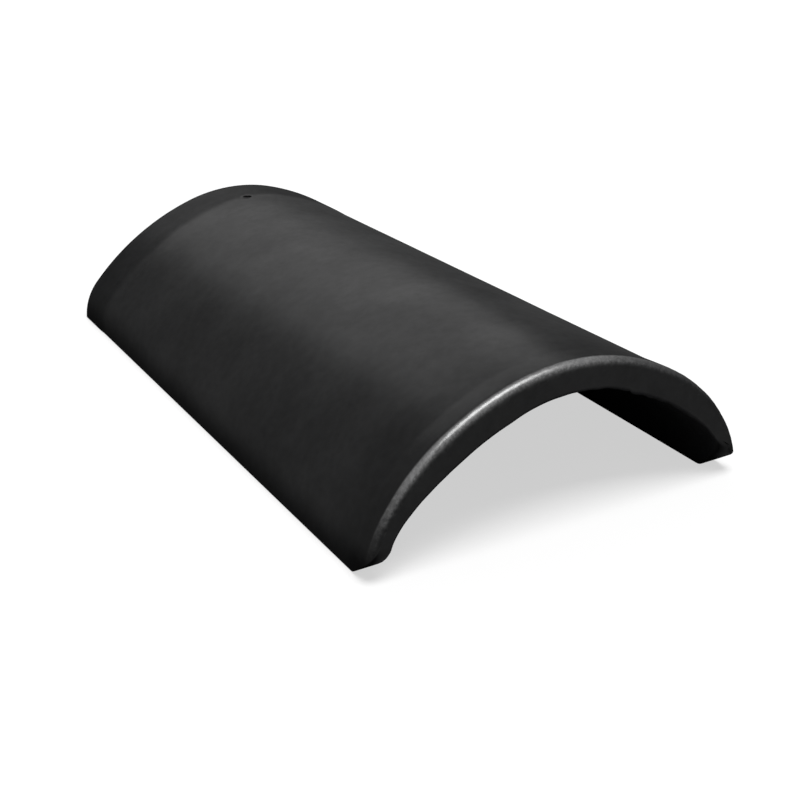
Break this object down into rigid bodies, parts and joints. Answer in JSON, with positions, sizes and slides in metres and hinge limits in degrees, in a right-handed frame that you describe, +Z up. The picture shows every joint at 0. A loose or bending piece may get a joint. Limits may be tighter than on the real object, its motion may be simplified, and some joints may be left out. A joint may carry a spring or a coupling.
{
  "type": "ridge tile",
  "caption": "Half-round tapered ridge tile of cast concrete with a rolled rim, a lapped margin and a nail hole.",
  "frame": {"origin": "on the floor under the middle of the tile, halfway along it and halfway between its feet", "axes": "+Y along the ridge towards the narrow nailed end, +X across the ridge, +Z up through the crown"},
  "size_m": [0.2514, 0.42, 0.0995],
  "materials": {
    "coated_concrete": "satin black coated concrete"
  },
  "bodies": {
    "root": {"ridge_tile": "coated_concrete"}
  },
  "joints": []
}
